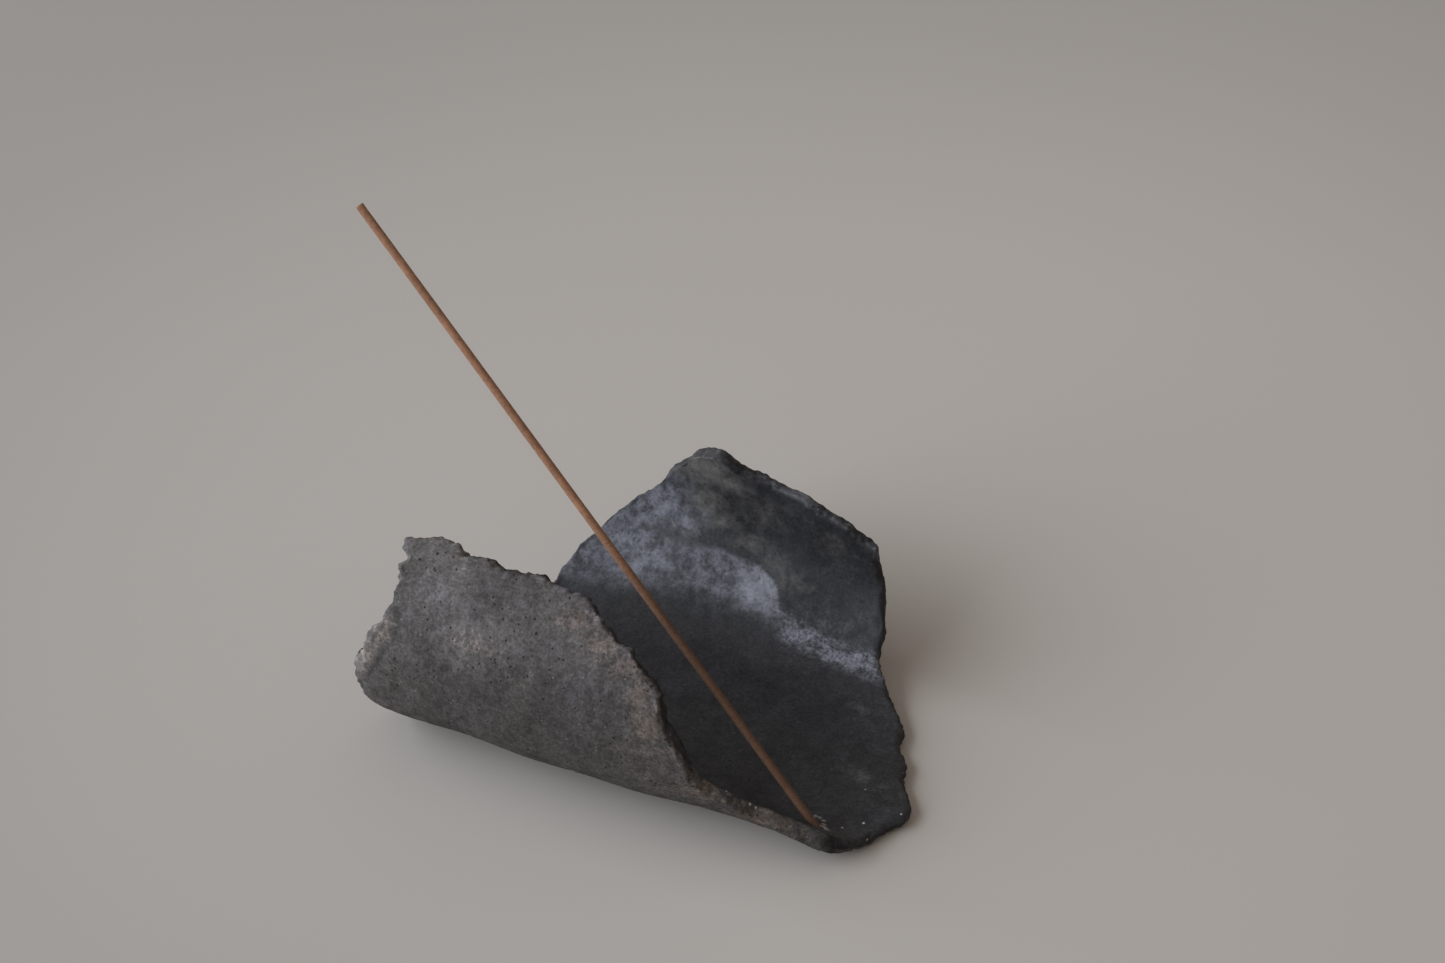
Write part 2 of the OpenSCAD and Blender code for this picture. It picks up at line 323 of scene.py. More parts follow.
def flat_point(u, v):
    """A point of the flat slab inside its torn sides: u along the trough, v from the near rim to the back."""
    a = np.asarray(u)[..., None]
    b = np.asarray(v)[..., None]
    sides = mix(near_line(u), back_line(u), b) + mix(left_line(v), right_line(v), a)
    near_corners = mix(near_line(0), near_line(1), a)
    back_corners = mix(back_line(0), back_line(1), a)
    p = sides - mix(near_corners, back_corners, b)
    p = p + TEAR * np.stack([tear_wave(p[..., 1]), tear_wave(p[..., 0])], axis=-1)
    for along, up, length, height, push_along, push_up in LUMPS:
        fall = np.exp(-(((p[..., 0] - along) / length) ** 2) - ((p[..., 1] - up) / height) ** 2)
        p = p + fall[..., None] * np.array([push_along, push_up])
    return p


def curl(t, s):
    """Flat floor, radius and angle of the curl at a point of the slab, and its side: -1 near, 1 back."""
    percent = 100 * t / SLAB_LENGTH
    share = (percent - LEFT_END) / 100
    bow = ((percent - BOW_MIDDLE) / BOW_REACH) ** 2
    near_flat = NEAR_FLAT - NEAR_BOW * bow + CORNER_OPEN * smooth(OPEN_FROM, OPEN_TO, percent)
    back_flat = BACK_FLAT - BACK_BOW * bow
    side = np.where(s < 0, -1.0, 1.0)
    flat = np.where(s < 0, near_flat, back_flat)
    radius = np.where(s < 0, mix(*NEAR_RADIUS, share), mix(*BACK_RADIUS, share))
    angle = np.maximum(0, np.abs(s) - flat) / radius
    return flat, radius, angle, side


def middle(t, s):
    """The slab's middle surface and its upward normal."""
    flat, radius, angle, side = curl(t, s)
    zero = np.zeros_like(angle)
    normal = np.stack([zero, -side * np.sin(angle), np.cos(angle)], axis=-1)
    across = side * (np.minimum(np.abs(s), flat) + radius * np.sin(angle))
    up = WALL / 2 - FOOT_RUB + radius * (1 - np.cos(angle))
    wave = HAND_WAVE * smooth(WAVE_FROM, WAVE_FULL, np.degrees(angle))
    wave = wave * np.sin(2 * np.pi * (t + s) / FINGER_PITCH) * np.cos(2 * np.pi * (t - 2 * s) / PALM_PITCH)
    return np.stack([t, across, up], axis=-1) + wave[..., None] * normal, normal


# The stick's line and the hole that it stands in
HOLE_T = SLAB_LENGTH * CORNER_ALONG / 100 - HOLE_FROM_CORNER
HOLE_S = -(NEAR_REACH * LIP_UP / 100 - HOLE_FROM_EDGE)
LEAN = np.radians(STICK_LEAN)
SWING = np.radians(STICK_SWING)
STICK_AXIS = np.array([-np.cos(LEAN) * np.cos(SWING), np.cos(LEAN) * np.sin(SWING), np.sin(LEAN)])
STICK_SIDE = np.cross(STICK_AXIS, [0.0, 0.0, 1.0])
STICK_SIDE = STICK_SIDE / np.linalg.norm(STICK_SIDE)
STICK_UP = np.cross(STICK_SIDE, STICK_AXIS)
HOLE_R = STICK_D / 2 + STICK_CLEARANCE
hole_middle, hole_normal = middle(np.array(HOLE_T), np.array(HOLE_S))
hole_cosine = STICK_AXIS @ hole_normal
hole_down = HOLE_DEPTH * hole_cosine + HOLE_R * np.sqrt(1 - hole_cosine**2)
PAD = max(0, hole_down + HOLE_FLOOR - WALL - HOLE_LIP)
HOLE_MOUTH = hole_middle + (WALL / 2 + HOLE_LIP) * hole_normal


def rounded(share, rim):
    k = np.minimum(1, np.minimum(share, 1 - share) / rim)
    return np.sqrt(1 - (1 - k) ** 2)


def slab_point(u, v, face):
    """A point of the slab's inner face (1) or outer face (-1), with its place on the flat slab."""
    flat = flat_point(u, v)
    t = flat[..., 0]
    s = flat[..., 1]
    centre, normal = middle(t, s)
    near_hole = np.exp(-((t - HOLE_T) ** 2 + (s - HOLE_S) ** 2) / PAD_SPREAD**2)
    thick = WALL / 2 + np.where(face > 0, HOLE_LIP, PAD) * near_hole
    blunt = rounded(u, ALONG_RIM) * rounded(v, ACROSS_RIM)

    # The inner corner is uneven along the rim, and as round as the outer one at the back right and the lip
    corner = INNER_CORNER * (1 + 0.4 * np.sin(t / 3.1 + s / 2.3) + 0.5 * np.sin(t / 6.7 - s / 5.3 + 1))
    rounder = np.maximum(smooth(40, 60, s) * smooth(-10, 4, t), smooth(26, 34, t) * smooth(40, 30, s))
    corner = mix(corner, 1.0, rounder)
    crisp = rounded(u, corner * ALONG_RIM) * rounded(v, corner * ACROSS_RIM)
    lift = face * thick * np.where(face > 0, crisp, blunt) + EDGE_LEAN * (1 - blunt)
    return centre + lift[..., None] * normal, t, s


def mesh_lines(rim, count, dense_at):
    """Shares from 0 to 1 for the mesh's lines: even turns round the torn edges, and closer at the hole."""
    turns = np.linspace(0, np.pi / 2, EDGE_TURNS, endpoint=False)
    edge = rim * (1 - np.cos(turns))
    fine = np.linspace(rim, 1 - rim, FINE_LINES)
    runs = np.cumsum(1 + HOLE_CROWDING * np.exp(-(((fine - dense_at) / HOLE_CROWDING_REACH) ** 2)))
    runs = (runs - runs[0]) / (runs[-1] - runs[0])
    inner = np.interp(np.linspace(0, 1, count), runs, fine)
    return np.concatenate([edge, inner, 1 - edge[::-1]])


def solve(aim, u, v):
    """Moves u and v until aim(u, v), which gives two numbers, is zero."""
    for _ in range(SOLVE_ROUNDS):
        here = aim(u, v)
        by_u = (aim(u + SOLVE_STEP, v) - here) / SOLVE_STEP
        by_v = (aim(u, v + SOLVE_STEP) - here) / SOLVE_STEP
        det = by_u[..., 0] * by_v[..., 1] - by_u[..., 1] * by_v[..., 0]
        u = u - (here[..., 0] * by_v[..., 1] - here[..., 1] * by_v[..., 0]) / det
        v = v - (by_u[..., 0] * here[..., 1] - by_u[..., 1] * here[..., 0]) / det
    return u, v


class Shell:
    """Points and faces of the clay body, with what its looks need to know at each point."""

    def __init__(self):
        self.points = []
        self.flat = []
        self.face = []
        self.from_edge = []
        self.faces = []
        self.count = 0

    def add(self, points, flat, face, from_edge):
        """Adds points and returns their numbers."""
        first = self.count
        points = np.asarray(points, float).reshape(-1, 3)
        size = len(points)
        self.points.append(points)
        self.flat.append(np.asarray(flat, float).reshape(-1, 2))
        self.face.append(np.broadcast_to(np.asarray(face, float), (size,)))
        self.from_edge.append(np.broadcast_to(np.asarray(from_edge, float).ravel(), (size,)))
        self.count += size
        return np.arange(first, self.count)

    def add_at(self, u, v, face):
        """Adds points of one face of the slab."""
        points, t, s = slab_point(u, v, np.full(np.shape(u), face))
        return self.add(points, np.stack([t, s], axis=-1), face, edge_distance(u, v))

    def close(self):
        """Drops the points that no face uses."""
        used = np.unique(np.concatenate([np.ravel(f) for f in self.faces]))
        renumber = np.zeros(self.count, int)
        renumber[used] = np.arange(len(used))
        self.faces = [renumber[np.asarray(f)] for f in self.faces]
        self.points = np.concatenate(self.points)[used]
        self.flat = np.concatenate(self.flat)[used]
        self.face = np.concatenate(self.face)[used]
        self.from_edge = np.concatenate(self.from_edge)[used]


def edge_distance(u, v):
    """Distance from the torn outline, measured on the flat slab."""
    along = np.minimum(u, 1 - u) * np.linalg.norm(right_line(v) - left_line(v), axis=-1)
    across = np.minimum(v, 1 - v) * np.linalg.norm(back_line(u) - near_line(u), axis=-1)
    return np.minimum(along, across)


def beside_stick(points):
    """Places of points across the stick's line, on two directions square to it."""
    from_mouth = points - HOLE_MOUTH
    return np.stack([from_mouth @ STICK_SIDE, from_mouth @ STICK_UP], axis=-1)


def build_shell():
    """The clay body's mesh, before its surface is weathered."""
    shell = Shell()
    hole_u, hole_v = solve(
        lambda u, v: flat_point(u, v) - np.array([HOLE_T, HOLE_S]),
        np.array(HOLE_GUESS[0]),
        np.array(HOLE_GUESS[1]),
    )
    u_lines = mesh_lines(ALONG_RIM, ALONG_COUNT, hole_u)
    v_lines = mesh_lines(ACROSS_RIM, ACROSS_COUNT, hole_v)
    last_u = len(u_lines) - 1
    last_v = len(v_lines) - 1
    u, v = np.meshgrid(u_lines, v_lines, indexing="ij")

    # The cells round the hole are left out of the inner face
    flat = flat_point(u, v)
    reach = np.hypot(flat[..., 0] - HOLE_T, flat[..., 1] - HOLE_S)
    near_u, near_v = np.nonzero(reach < HOLE_PATCH)
    low_u, high_u = near_u.min(), min(near_u.max(), last_u - 3)
    low_v, high_v = near_v.min(), near_v.max()

    inner = shell.add_at(u, v, 1.0).reshape(u.shape)
    outer = inner.copy()
    outer[1:-1, 1:-1] = shell.add_at(u[1:-1, 1:-1], v[1:-1, 1:-1], -1.0).reshape(last_u - 1, last_v - 1)
    i, j = np.meshgrid(np.arange(last_u), np.arange(last_v), indexing="ij")
    in_patch = (i >= low_u) & (i < high_u) & (j >= low_v) & (j < high_v)
    for grid, turned, keep in ((inner, False, ~in_patch), (outer, True, np.ones_like(in_patch))):
        corners = [grid[:-1, :-1], grid[1:, :-1], grid[1:, 1:], grid[:-1, 1:]]
        if turned:
            corners = corners[::-1]
        shell.faces.append(np.stack([c[keep] for c in corners], axis=-1))

    # The edge of that patch, once round
    loop = [(k, low_v) for k in range(low_u, high_u)]
    loop += [(high_u, k) for k in range(low_v, high_v)]
    loop += [(k, high_v) for k in range(high_u, low_u, -1)]
    loop += [(low_u, k) for k in range(high_v, low_v, -1)]
    loop = np.array(loop)
    rim_u = u_lines[loop[:, 0]]
    rim_v = v_lines[loop[:, 1]]

    # Rings from the patch's edge to the chipped mouth of the hole
    rim_points = slab_point(rim_u, rim_v, np.ones(len(loop)))[0]
    aside = beside_stick(rim_points)
    turn = np.arctan2(aside[:, 1], aside[:, 0])
    ways = np.stack([np.cos(turn), np.sin(turn)], axis=-1)
    chipped = np.array([noise.noise(Vector((w[0] * 1.3, w[1] * 1.3, 4.2))) for w in ways])
    mouth_r = HOLE_R + MOUTH_ROOM + MOUTH_CHIPS * chipped + MOUTH_LOPSIDED * np.cos(turn - CHIP_SIDE)
    mouth_r = np.maximum(mouth_r, HOLE_R + MOUTH_LEAST)
    mouth_u, mouth_v = solve(
        lambda a, b: beside_stick(slab_point(a, b, np.ones(len(loop)))[0]) - mouth_r[:, None] * ways,
        np.full(len(loop), float(hole_u)),
        np.full(len(loop), float(hole_v)),
    )
    rings = [inner[loop[:, 0], loop[:, 1]]]
    for share in np.linspace(0, 1, PATCH_RINGS + 1)[1:]:
        rings.append(shell.add_at(mix(rim_u, mouth_u, share), mix(rim_v, mouth_v, share), 1.0))

    # The hole's wall, from a little below the mouth to its end
    mouth_points, mouth_t, mouth_s = slab_point(mouth_u, mouth_v, np.ones(len(loop)))
    mouth_flat = np.stack([mouth_t, mouth_s], axis=-1)
    mouth_up = (mouth_points - HOLE_MOUTH) @ STICK_AXIS
    round_wall = HOLE_R * (ways[:, :1] * STICK_SIDE + ways[:, 1:] * STICK_UP)
    for share in WALL_SHARES:
        up = mix(mouth_up - MOUTH_BEVEL, -HOLE_DEPTH, share)
        ring = HOLE_MOUTH + round_wall + up[:, None] * STICK_AXIS
        rings.append(shell.add(ring, mouth_flat, 1.0, FAR_FROM_EDGE))
    for outside, inside in zip(rings, rings[1:]):
        shell.faces.append(np.stack([outside, np.roll(outside, -1), np.roll(inside, -1), inside], axis=-1))
    end = shell.add(HOLE_MOUTH - HOLE_DEPTH * STICK_AXIS, (HOLE_T, HOLE_S), 1.0, FAR_FROM_EDGE)
    ends = np.broadcast_to(end, rings[-1].shape)
    shell.faces.append(np.stack([rings[-1], np.roll(rings[-1], -1), ends], axis=-1))
    shell.close()
    return shell


def point_normals(points, faces):
    """Normals at the points, from the faces round them."""
    normals = np.zeros_like(points)
    for group in faces:
        corners = points[group]
        if group.shape[1] == 4:
            across = np.cross(corners[:, 2] - corners[:, 0], corners[:, 3] - corners[:, 1])
        else:
            across = np.cross(corners[:, 1] - corners[:, 0], corners[:, 2] - corners[:, 0])
        for k in range(group.shape[1]):
            np.add.at(normals, group[:, k], across)
    return normals / np.maximum(np.linalg.norm(normals, axis=1, keepdims=True), 1e-12)


def cloud(points, size, octaves=1):
    """Smooth noise between about -1 and 1, with features of about the given size."""
    return np.array([noise.fractal(Vector(p), 0.7, 2.0, octaves) for p in points / size])


def crumbs(points, size):
    """Distance to the nearest of scattered places, as a share of their spacing."""
    return np.array([noise.voronoi(Vector(p))[0][0] for p in points / size])


def held(values, low, high):
    """Draws values that come near a limit back inside it, smoothly."""
    for sign, limit in ((1.0, high), (-1.0, -low)):
        room = limit - sign * values
        drawn = BOX_MARGIN * np.exp((np.minimum(room, BOX_MARGIN) - BOX_MARGIN) / BOX_MARGIN)
        values = sign * (limit - np.where(room < BOX_MARGIN, drawn, room))
    return values


def past_crease(flat):
    """Distance along the slab from the crease, and how fully it is there: it fades out at both ends."""
    away = flat[:, 0] - np.interp(flat[:, 1], CREASE_UP, CREASE_ALONG)
    return away, smooth(-82, -77, flat[:, 1]) * smooth(-53, -58, flat[:, 1])


def weather(shell):
    """Moves the points to the torn, pitted and hand-worked surface of the clay."""
    points = shell.points
    normals = point_normals(points, shell.faces)
    inside = shell.face > 0
    wave = 0.3 * cloud(points, 27.0, 2)

    # The inner face is smooth, with a few shallow pits
    smooth_side = wave + 0.05 * cloud(points + 20, 5.0, 2)
    smooth_side -= 0.15 * (1 - smooth(0.05, 0.16, crumbs(points + 11, 6.5)))

    # The outer face is grainy, with shallow scars, pits, a crease and a swelling
    rough_side = -wave - 0.2 + 0.10 * cloud(points + 50, 3.2) + 0.07 * cloud(points + 61, 1.5)
    rough_side -= 0.25 * smooth(0.15, 0.6, cloud(points + 90, 8.0, 2))
    rough_side -= 0.30 * (1 - smooth(0.09, 0.24, crumbs(points + 5, 4.6)))
    away, creased = past_crease(shell.flat)
    rough_side -= creased * (0.5 * np.exp(-((away / 1.1) ** 2)) + 0.25 * smooth(0, -6, away))
    rough_side += patches(shell.flat, SWELLING)

    # The torn edge is lumpy and crumbly, and less so at the back and at the right
    torn = 0.8 * cloud(points + 77, 6.5) + 0.6 * cloud(points + 30, 3.2, 2) + 0.55 * cloud(points + 41, 1.4)
    torn += 1.2 * (0.42 - crumbs(points + 70, 2.2))
    torn *= 1 - 0.55 * smooth(20, 50, shell.flat[:, 1]) - 0.35 * smooth(44, 56, shell.flat[:, 0])
    lift = np.where(inside, smooth_side, rough_side)
    reach_in = np.where(inside, 2.0, 3.6)
    lift = mix(lift, torn, 1 - smooth(0.3, reach_in, shell.from_edge))

    # The hole's wall stays true, with a crumbled lip pushed up round its mouth
    aside = beside_stick(points)
    reach = np.hypot(aside[:, 0], aside[:, 1])
    lip = 0.3 * np.exp(-(((reach - 2.1) / 0.55) ** 2)) * (0.6 + 0.5 * cloud(points + 13, 1.1))
    lift = np.where(inside, lift + lip, lift) * smooth(HOLE_R + 0.1, HOLE_R + 0.9, reach)

    points = points + lift[:, None] * normals
    low, high = (MM_PER_METRE * np.array(corner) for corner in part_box("clay_body"))
    points[:, 0] = held(points[:, 0], low[0], high[0])
    points[:, 1] = held(points[:, 1], low[1], high[1])
    points[:, 2] = np.clip(points[:, 2], low[2], high[2])
    return points


def patches(flat, places, sharp=1):
    """Soft patches on the slab, with flatter tops and steeper sides as sharp grows."""
    total = np.zeros(len(flat))
    for along, up, length, height, strength in places:
        away = ((flat[:, 0] - along) / length) ** 2 + ((flat[:, 1] - up) / height) ** 2
        patch = strength * np.exp(-(away**sharp))
        total = np.where(np.abs(patch) > np.abs(total), patch, total)
    return total


def inner_places(shell, points, places):
    """Points of the inner face at places on the slab, each with its radius, in metres."""
    inner = shell.face > 0
    found = []
    for along, up, radius in places:
        apart = np.linalg.norm(shell.flat[inner] - (along, up), axis=1)
        found.append((tuple(points[inner][apart.argmin()] / MM_PER_METRE), radius / MM_PER_METRE))
    return found


def clay_values(shell, points):
    """What the clay's material needs to know at each point, by name."""
    along, up = shell.flat.T
    from_edge = shell.from_edge
    outer_side = shell.face < 0
    values = {}

    # Soot comes over the torn rim, but not over the lip, whose rolled inner corner shows the outer clay
    scorched = smooth(-44, -34, along)
    on_lip = smooth(26, 34, along) * smooth(-34, -38, up) * smooth(67, 61, along)
    on_back = smooth(50, 60, up)
    on_back_rim = smooth(60, 68, up) * smooth(0, 8, along)
    burnt_width = mix(0.6, 1.0, smooth(-34, -26, along) * smooth(12, 0, along))
    burnt_edge = (1 - smooth(0.2 * burnt_width, burnt_width, from_edge)) * scorched
    burnt_edge = np.maximum(burnt_edge * (1 - on_lip), on_back * (1 - smooth(2.0, 3.5, from_edge)))
    rolled = np.where(outer_side, 0, on_lip * (1 - smooth(0.8, 2.4, from_edge)))
    values["inside"] = np.where(outer_side, burnt_edge, 1 - rolled)
    outer_paint = outer_side | (rolled > 0)
    rim_paint = 0.5 * on_back * smooth(4, 3, from_edge)
    inner_paint = np.where(outer_side, rim_paint, 1 - 0.5 * on_back * smooth(1.8, 0.5, from_edge))

    # The crumbly edge, where it is scorched, and the rime on the back rim
    inner_line = np.exp(-(((from_edge - 1.8) / 1.1) ** 2))
    edge = 1 - smooth(0.3, np.where(up < 20, 1.7, 3.0), from_edge)
    values["edge"] = mix(edge, np.where(outer_side, 0.3 * edge, inner_line), on_lip)
    near_scorch = np.maximum(scorched * (1 - 0.8 * smooth(50, 60, along)), on_lip)
    values["scorch"] = np.where(up < 20, near_scorch, 0.2 * smooth(-6, 4, along))
    rime = 1 - smooth(np.where(outer_side, 1.0, 0.1), np.where(outer_side, 3.0, 1.3), from_edge)
    values["rime"] = rime * on_back_rim

    # Tones of both faces, and the outer face's blushes, with painted light on the facet to the left of the
    # crease and painted shade in the crease
    away, creased = past_crease(shell.flat)
    painted_facet_light = creased * smooth(0.5, -1.0, away)
    painted_crease_shade = creased * np.exp(-(((away - 0.4) / 1.0) ** 2))
    tone = patches(shell.flat, TONES) + 1.6 * painted_facet_light - 1.1 * painted_crease_shade - 0.25 * on_lip
    inner_tone = 0.28 * smooth(10, 50, along) * smooth(40, 25, up) - 0.16 * smooth(0, -30, along)
    inner_tone -= patches(shell.flat, UNDER_SHEEN)
    values["tone"] = np.where(outer_paint, tone, inner_tone)
    values["blush"] = np.maximum(patches(shell.flat, BLUSHES), 0.5 * painted_facet_light) * outer_paint
    cool = np.maximum(patches(shell.flat, COOL_BLUSHES), 0.38 * smooth(-66, -80, up))
    values["cool"] = cool * outer_side
    values["pitted"] = patches(shell.flat, PITS) * outer_side
    values["olive"] = patches(shell.flat, OLIVE_STAINS) * inner_paint

    # The painted sheen, a reflection of the window painted into the colour, fades in from below, ends softly
    # above at the left and sharply at the right; the streak carries painted glints
    sheen_low = np.interp(along, SHEEN_ALONG, SHEEN_LOW)
    sheen_high = np.interp(along, SHEEN_ALONG, SHEEN_HIGH)
    fade = mix(4.0, 1.0, smooth(-20, 0, along))
    sheen = smooth(-1.5, 9, up - sheen_low) * (1 - smooth(-fade, fade, up - sheen_high))
    narrow = smooth(-3.0, 2.5, up - sheen_low) * (1 - smooth(-2.0, 5.0, up - sheen_high))
    in_streak = smooth(14, 22, along)
    sheen = mix(sheen, narrow, in_streak) * np.interp(along, SHEEN_ALONG, SHEEN_STRENGTH)
    values["painted_sheen"] = np.maximum(sheen, patches(shell.flat, HAZES)) * inner_paint
    values["solid"] = patches(shell.flat, SOLID_SHEEN, 2)
    values["sheen_streak"] = 0.6 + 1.6 * in_streak

    # Pale grit near the front corner, and a painted highlight on the far side of the hole's mouth
    values["gritty"] = patches(shell.flat, GRITTY, 2) * ~outer_side
    aside = np.linalg.norm(beside_stick(points), axis=1)
    far_side = smooth(0.2, 1.0, (along - HOLE_T) * 0.15 + (up - HOLE_S))
    values["mouth_highlight"] = 0.5 * np.exp(-(((aside - 1.8) / 0.45) ** 2)) * far_side * ~outer_side
    return values


def new_object(name, points, faces, body, node, material):
    """A smooth mesh object in metres that stands for a CAD node."""
    mesh = bpy.data.meshes.new(name)
    mesh.from_pydata((points / MM_PER_METRE).tolist(), [], [f for group in faces for f in group.tolist()])
    mesh.polygons.foreach_set("use_smooth", np.ones(len(mesh.polygons), bool))
    mesh.materials.append(material)
    mesh.update()
    thing = bpy.data.objects.new(name, mesh)
    bpy.context.scene.collection.objects.link(thing)
    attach(thing, body)
    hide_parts(node)
    return thing


def add_value(thing, name, values):
    attribute = thing.data.attributes.new(name, "FLOAT", "POINT")
    attribute.data.foreach_set("value", np.asarray(values, np.float32))


class Graph:
    """A material's node graph, with short ways to add its nodes. Sizes are in millimetres."""

    def __init__(self, name):
        self.material = bpy.data.materials.new(name)
        self.material.use_nodes = True
        self.tree = self.material.node_tree
        self.tree.nodes.clear()
        self.shader = self.node("ShaderNodeBsdfPrincipled")
        output = self.node("ShaderNodeOutputMaterial")
        self.tree.links.new(self.shader.outputs["BSDF"], output.inputs["Surface"])
        self.place = self.node("ShaderNodeTexCoord").outputs["Object"]

    def node(self, kind, inputs=None, **settings):
        made = self.tree.nodes.new(kind)
        for name, value in settings.items():
            setattr(made, name, value)
        for key, value in (inputs or {}).items():
            self.put(made.inputs[key], value)
        return made

    def put(self, socket, value):
        if isinstance(value, bpy.types.NodeSocket):
            self.tree.links.new(value, socket)
        else:
            socket.default_value = value

    def value(self, name):
        return self.node("ShaderNodeAttribute", attribute_name=name).outputs["Fac"]

    def apart(self, point):
        """Distance from a point, both in metres."""
        made = self.node("ShaderNodeVectorMath", {0: self.place, 1: point}, operation="DISTANCE")
        return made.outputs["Value"]

    def stretched(self, turn, scale):
        """The place turned by angles about X, Y and Z and then stretched."""
        inputs = {"Vector": self.place, "Rotation": turn, "Scale": scale}
        return self.node("ShaderNodeMapping", inputs, vector_type="TEXTURE").outputs["Vector"]

    def cloud(self, size, detail, roughness=0.55, distortion=0.0, at=None):
        inputs = {"Vector": at or self.place, "Scale": MM_PER_METRE / size, "Detail": detail}
        inputs.update({"Roughness": roughness, "Distortion": distortion})
        return self.node("ShaderNodeTexNoise", inputs).outputs["Fac"]

    def spots(self, size, near, shown, turn=None, more=None):
        """Scattered spots: near goes from rim to core, shown picks some, and more adds to the pick."""
        at = self.stretched(turn, (1.0, 1.0, 1.0)) if turn else self.place
        made = self.node("ShaderNodeTexVoronoi", {"Vector": at, "Scale": MM_PER_METRE / size})
        kind = made.outputs["Color"]
        if more:
            kind = self.sum(kind, more)
        return self.times(self.band(made.outputs["Distance"], *near), self.band(kind, *shown))

    def sum(self, a, b, how="ADD"):
        return self.node("ShaderNodeMath", {0: a, 1: b}, operation=how).outputs[0]

    def times(self, a, b):
        return self.sum(a, b, "MULTIPLY")

    def off(self, value):
        """How far a value lies from a half."""
        return self.sum(value, 0.5, "SUBTRACT")

    def scaled(self, colour, factor):
        return self.mix(1.0, colour, factor, "MULTIPLY")

    def band(self, value, low, high, to_low=0.0, to_high=1.0):
        inputs = {"Value": value, "From Min": low, "From Max": high, "To Min": to_low, "To Max": to_high}
        return self.node("ShaderNodeMapRange", inputs, interpolation_type="SMOOTHSTEP").outputs["Result"]

    def mix(self, share, a, b, how="MIX"):
        """A colour between a and b. Colours written out have three numbers."""
        made = self.node("ShaderNodeMix", data_type="RGBA", blend_type=how)
        self.put(made.inputs[0], share)
        for socket, colour in ((made.inputs[6], a), (made.inputs[7], b)):
            self.put(socket, (*colour, 1.0) if isinstance(colour, tuple) else colour)
        return made.outputs[2]

    def mix_ways(self, share, a, b):
        """A direction between a and b."""
        made = self.node("ShaderNodeMix", data_type="VECTOR")
        for key, value in ((0, share), (4, a), (5, b)):
            self.put(made.inputs[key], value)
        return made.outputs[1]

    def bump(self, height, depth, strength):
        inputs = {"Height": height, "Distance": depth / MM_PER_METRE, "Strength": strength}
        return self.node("ShaderNodeBump", inputs).outputs["Normal"]

    def finish(self, **inputs):
        for name, value in inputs.items():
            self.put(self.shader.inputs[name.replace("_", " ")], value)
        return self.material


def outer_clay(g, tone, pores):
    """Colour and height of the outer face: fine-grained grey with beige and cool blushes and pale grog."""
    streaks = g.cloud(16.0, 4.0, 0.6, 0.4, g.stretched((0, 0, 0.3), (1.0, 1.0, 2.6)))
    mottle = g.cloud(2.6, 5.0, 0.7)
    grain = g.cloud(0.8, 3.0, 0.7)
    grey = g.mix(g.band(streaks, 0.34, 0.66), GREY_DARK, GREY_PALE)
    grey = g.scaled(grey, tone)
    cool = g.band(g.sum(g.value("cool"), g.times(g.off(mottle), 1.2)), 0.2, 0.9)
    grey = g.mix(cool, grey, g.scaled(grey, COOL_TINT))
    patchy = g.sum(g.times(g.off(grain), 1.3), g.times(g.off(streaks), 0.5))
    patchy = g.sum(g.times(g.off(mottle), 1.4), patchy)
    blush = g.band(g.sum(g.value("blush"), patchy), 0.30, 1.05)
    grey = g.mix(blush, grey, g.scaled(grey, BLUSH_TINT))
    grey = g.scaled(grey, g.band(mottle, 0.3, 0.7, 0.74, 1.26))
    grey = g.scaled(grey, g.band(grain, 0.32, 0.68, 0.72, 1.30))
    grey = g.mix(g.times(pores, 0.85), grey, GREY_PORE)
    grog = g.spots(1.9, (0.19, 0.09), (0.60, 0.64), turn=(0.4, 0.2, 0.9))
    grey = g.mix(g.times(grog, 0.40), grey, GROG)
    height = g.sum(g.times(mottle, 0.5), g.times(grain, 0.5))
    return grey, g.sum(height, g.times(pores, 0.9), "SUBTRACT")


